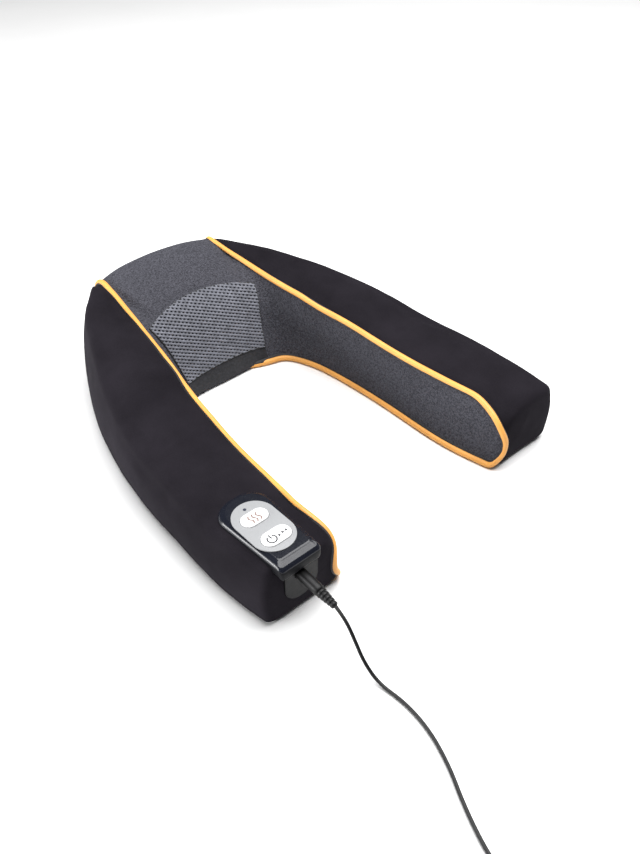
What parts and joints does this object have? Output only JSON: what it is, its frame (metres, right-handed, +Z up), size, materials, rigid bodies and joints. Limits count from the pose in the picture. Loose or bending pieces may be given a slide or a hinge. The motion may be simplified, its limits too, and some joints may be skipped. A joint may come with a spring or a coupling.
{
  "type": "shiatsu neck massager",
  "caption": "U-shaped massaging neck cushion with fabric arms, contrast piping, a mesh panel over hidden rotating heads, and a push-button controller with a mains adapter lead.",
  "frame": {"origin": "on the floor under the middle of the cushion, measured without the power lead", "axes": "+X across the cushion away from the controller arm, +Y from the arm ends towards the neck part, +Z up"},
  "size_m": [0.4684, 0.734, 0.1007],
  "materials": {
    "black_cover": "matte neoprene-like knit",
    "grey_cover": "fine loop-pile fabric",
    "mesh": "open woven mesh",
    "grey_strip": "plain jersey",
    "piping": "satin piping",
    "foam": "open-cell foam",
    "housing_plastic": "moulded",
    "steel": "plated",
    "bronze": "sintered bronze",
    "gear_plastic": "moulded acetal",
    "magnet": "ferrite",
    "copper": "copper",
    "head_plastic": "moulded",
    "knob_plastic": "soft",
    "heater": "polyimide film",
    "box_gloss": "gloss",
    "box_matte": "satin",
    "silver_plate": "silver lacquer",
    "button_white": "satin",
    "board": "lacquered",
    "chips": "moulded",
    "led": "clear tinted",
    "socket": "moulded",
    "cord": "satin",
    "plug_black": "moulded",
    "adapter": "fine grain",
    "nickel": "nickel"
  },
  "bodies": {
    "root": {"adapter_body": "adapter", "adapter_cord": "cord", "adapter_pins": "nickel", "adapter_plug_face": "adapter", "adapter_strain_relief": "plug_black", "arm_cover_left": "black_cover", "arm_cover_right": "black_cover", "arm_foam_left": "foam", "arm_foam_right": "foam", "board_chips": "chips", "button_switches": "chips", "clamp_plate": "steel", "clamp_screws": "steel", "coil_tie": "plug_black", "control_board": "board", "control_box_base": "box_matte", "control_box_lid": "box_gloss", "cord_coil": "cord", "face_plate": "silver_plate", "front_strip": "grey_strip", "gearbox_lid": "housing_plastic", "gearbox_screws": "steel", "gearbox_tray": "housing_plastic", "heater_film": "heater", "indicator_led": "led", "inner_cover": "grey_cover", "mesh_panel": "mesh", "motor_bushes": "bronze", "motor_can": "steel", "motor_end_cap": "housing_plastic", "motor_magnets": "magnet", "neck_foam": "foam", "piping_left": "piping", "piping_right": "piping", "plug_grip": "plug_black", "plug_strain_relief": "plug_black", "plug_tip": "nickel", "power_cord": "cord", "power_socket": "socket", "shaft_end_bush": "bronze", "socket_pin": "steel", "spindle_bushes": "bronze", "thermal_cut_out": "steel", "wire_harness": "cord"},
    "rotor": {"motor_shaft": "steel", "rotor_core": "steel", "commutator": "copper", "worm": "gear_plastic"},
    "head_left": {"worm_wheel_left": "gear_plastic", "spindle_left": "steel", "head_plate_left": "head_plastic", "head_screw_left": "steel", "massage_knobs_left": "knob_plastic"},
    "head_right": {"worm_wheel_right": "gear_plastic", "spindle_right": "steel", "head_plate_right": "head_plastic", "head_screw_right": "steel", "massage_knobs_right": "knob_plastic"},
    "heat_key": {"heat_button": "button_white"},
    "massage_key": {"massage_button": "button_white"}
  },
  "joints": [
    {"name": "motor_spin", "type": "hinge", "parent": "root", "child": "rotor", "pos_m": [0, 0.12373, 0.03438], "axis": [0, 0.454, 0.891], "continuous": true},
    {"name": "head_left_spin", "type": "hinge", "parent": "root", "child": "head_left", "pos_m": [-0.025, 0.097, 0.048], "axis": [0, -0.891, 0.454], "continuous": true},
    {"name": "head_right_spin", "type": "hinge", "parent": "root", "child": "head_right", "pos_m": [0.025, 0.097, 0.048], "axis": [0, -0.891, 0.454], "continuous": true},
    {"name": "heat_press", "type": "slide", "parent": "root", "child": "heat_key", "axis": [0, 0, -1], "range_m": [0, 0.0008], "stiffness_N_per_m": 500},
    {"name": "massage_press", "type": "slide", "parent": "root", "child": "massage_key", "axis": [0, 0, -1], "range_m": [0, 0.0008], "stiffness_N_per_m": 500}
  ],
  "couplings": [
    {"joint": "head_left_spin", "follows": "motor_spin", "ratio": -0.025},
    {"joint": "head_right_spin", "follows": "motor_spin", "ratio": 0.025}
  ]
}
